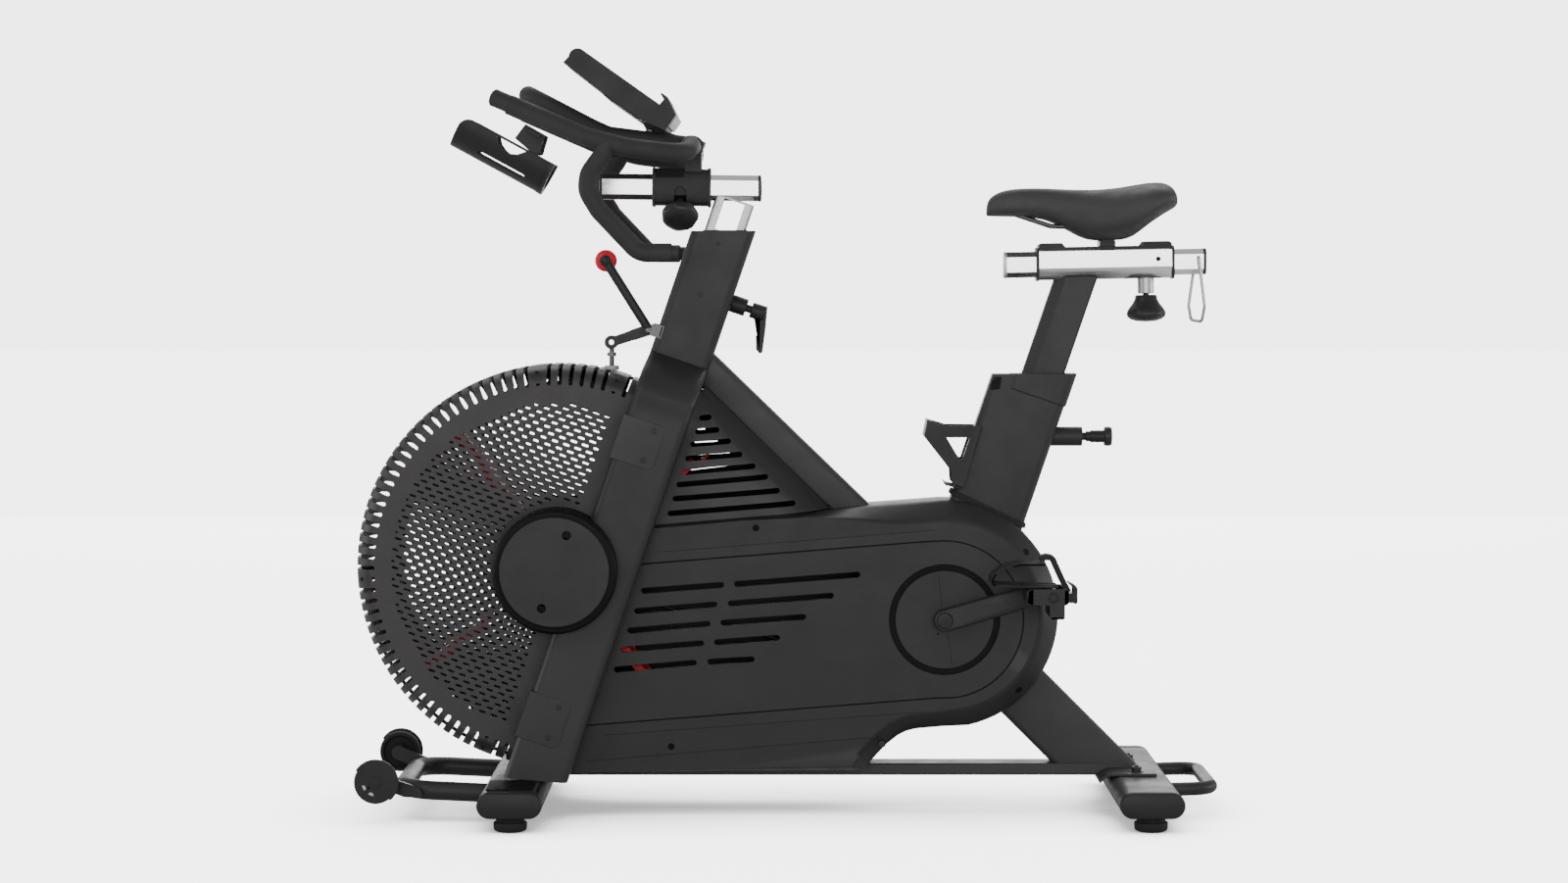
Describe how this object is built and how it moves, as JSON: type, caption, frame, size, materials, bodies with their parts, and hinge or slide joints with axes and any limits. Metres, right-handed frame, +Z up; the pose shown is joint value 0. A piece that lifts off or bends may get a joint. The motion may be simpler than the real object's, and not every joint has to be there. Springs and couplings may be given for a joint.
{
  "type": "air bike",
  "caption": "Upright fan exercise bike with a belt-driven paddle fan, padded saddle on a slider, sliding handlebar, bottle holders and a tablet tray.",
  "frame": {"origin": "on the floor, under the middle of the bike's overall box", "axes": "+X towards the rear of the bike (the bike faces -X), +Y towards its right side, +Z up"},
  "size_m": [1.3294, 0.54, 1.178],
  "materials": {
    "frame_paint": "satin black powder coat",
    "cover_plastic": "fine moulded texture",
    "rubber": "matte",
    "wheel_plastic": "satin",
    "bare_steel": "machined",
    "red": "satin red",
    "lever_black": "semi-gloss black",
    "black_plastic": "satin",
    "grip_coating": "soft-touch coating",
    "chrome": "polished, faint brushing",
    "saddle_cover": "synthetic leather, fine grain"
  },
  "bodies": {
    "frame": {"front_stabilizer": "frame_paint", "rear_stabilizer": "frame_paint", "foot_front_left": "rubber", "foot_front_right": "rubber", "foot_rear_left": "rubber", "foot_rear_right": "rubber", "transport_bar": "frame_paint", "rear_handle": "frame_paint", "bottom_rail": "frame_paint", "mast_tube": "frame_paint", "fork_crown": "frame_paint", "fork_leg_left": "frame_paint", "fork_leg_right": "frame_paint", "diagonal_tube": "frame_paint", "rear_leg": "frame_paint", "seat_tube": "frame_paint", "bottom_bracket_shell": "bare_steel", "casing_left": "cover_plastic", "casing_right": "cover_plastic", "fan_guard_left": "cover_plastic", "fan_guard_right": "cover_plastic", "hub_cap_left": "cover_plastic", "hub_cap_right": "cover_plastic", "fan_axle": "bare_steel", "drive_belt": "rubber", "brake_bracket": "bare_steel", "bottle_cage": "black_plastic"},
    "left_wheel": {"transport_wheel_left": "wheel_plastic"},
    "right_wheel": {"transport_wheel_right": "wheel_plastic"},
    "fan": {"fan_wheel": "red", "fan_pulley": "bare_steel"},
    "crank": {"crank_axle": "bare_steel", "crank_pulley": "black_plastic", "crank_arm_left": "lever_black", "crank_arm_right": "lever_black"},
    "left_pedal": {"pedal_left": "black_plastic", "toe_cage_left": "black_plastic"},
    "right_pedal": {"pedal_right": "black_plastic", "toe_cage_right": "black_plastic"},
    "bar_post": {"bar_post": "chrome"},
    "handlebar": {"bar_carriage": "black_plastic", "outer_bar": "grip_coating", "inner_bar": "grip_coating", "drop_grip_left": "grip_coating", "drop_grip_right": "grip_coating", "tablet_bracket": "black_plastic", "bottle_holder": "black_plastic"},
    "bar_knob": {"bar_knob": "black_plastic"},
    "tablet": {"tablet_holder": "black_plastic"},
    "clamp_lever": {"clamp_lever": "black_plastic"},
    "seat_post": {"seat_post": "frame_paint", "slider_sleeve": "chrome"},
    "saddle_slider": {"slider_tube": "chrome", "saddle": "saddle_cover"},
    "seat_knob": {"seat_knob": "black_plastic"},
    "bail": {"wire_bail": "chrome"},
    "pop_pin": {"pop_pin": "black_plastic"},
    "brake_lever": {"brake_lever": "lever_black", "brake_knob": "red"},
    "brake_rod": {"brake_rod": "bare_steel"}
  },
  "joints": [
    {"name": "left_wheel_spin", "type": "hinge", "parent": "frame", "child": "left_wheel", "pos_m": [-0.624, -0.17, 0.065], "axis": [0, 1, 0], "continuous": true},
    {"name": "right_wheel_spin", "type": "hinge", "parent": "frame", "child": "right_wheel", "pos_m": [-0.624, 0.17, 0.065], "axis": [0, 1, 0], "continuous": true},
    {"name": "crank_spin", "type": "hinge", "parent": "frame", "child": "crank", "pos_m": [0.2427, 0, 0.303], "axis": [0, 1, 0], "continuous": true},
    {"name": "fan_spin", "type": "hinge", "parent": "frame", "child": "fan", "pos_m": [-0.3527, 0, 0.3835], "axis": [0, 1, 0], "continuous": true},
    {"name": "left_pedal_spin", "type": "hinge", "parent": "crank", "child": "left_pedal", "pos_m": [0.40123, -0.165, 0.34876], "axis": [0, 1, 0], "continuous": true},
    {"name": "right_pedal_spin", "type": "hinge", "parent": "crank", "child": "right_pedal", "pos_m": [0.08417, 0.165, 0.25724], "axis": [0, 1, 0], "continuous": true},
    {"name": "bar_height", "type": "slide", "parent": "frame", "child": "bar_post", "axis": [0.3223, 0, 0.9466], "range_m": [0, 0.08]},
    {"name": "bar_reach", "type": "slide", "parent": "bar_post", "child": "handlebar", "axis": [0.9999, 0, -0.0122], "range_m": [-0.07, 0]},
    {"name": "bar_knob_turn", "type": "hinge", "parent": "handlebar", "child": "bar_knob", "pos_m": [-0.165, 0, 0.969], "axis": [0, 0.7071, 0.7071], "range_deg": [-180, 180]},
    {"name": "tablet_tilt", "type": "hinge", "parent": "handlebar", "child": "tablet", "pos_m": [-0.212, 0, 1.0545], "axis": [0, 1, 0], "range_deg": [-14, 4]},
    {"name": "clamp_lever_turn", "type": "hinge", "parent": "frame", "child": "clamp_lever", "pos_m": [-0.13127, 0, 0.80494], "axis": [0.9466, 0, -0.3223], "range_deg": [-90, 90]},
    {"name": "seat_height", "type": "slide", "parent": "frame", "child": "seat_post", "axis": [0.3223, 0, 0.9466], "range_m": [-0.04, 0.08]},
    {"name": "saddle_reach", "type": "slide", "parent": "seat_post", "child": "saddle_slider", "axis": [0.9998, 0, 0.0192], "range_m": [-0.03, 0.04]},
    {"name": "seat_knob_turn", "type": "hinge", "parent": "seat_post", "child": "seat_knob", "pos_m": [0.55799, 0, 0.85273], "axis": [0.0192, 0, -0.9998], "range_deg": [-180, 180]},
    {"name": "bail_swing", "type": "hinge", "parent": "saddle_slider", "child": "bail", "pos_m": [0.6385, 0, 0.8575], "axis": [0, 1, 0], "range_deg": [-80, 22]},
    {"name": "pop_pin_pull", "type": "slide", "parent": "frame", "child": "pop_pin", "axis": [1, 0, 0], "range_m": [0, 0.01], "stiffness_N_per_m": 900, "springref_m": -0.005},
    {"name": "brake_lever_push", "type": "hinge", "parent": "frame", "child": "brake_lever", "pos_m": [-0.215, 0, 0.748], "axis": [0, -1, 0], "range_deg": [0, 12], "stiffness_Nm_per_rad": 6, "springref_deg": -8.59},
    {"name": "brake_rod_travel", "type": "slide", "parent": "frame", "child": "brake_rod", "axis": [0, 0, -1], "range_m": [0, 0.014]}
  ],
  "couplings": [
    {"joint": "fan_spin", "follows": "crank_spin", "ratio": 4.1071},
    {"joint": "brake_rod_travel", "follows": "brake_lever_push", "m_per_rad": 0.0584}
  ]
}
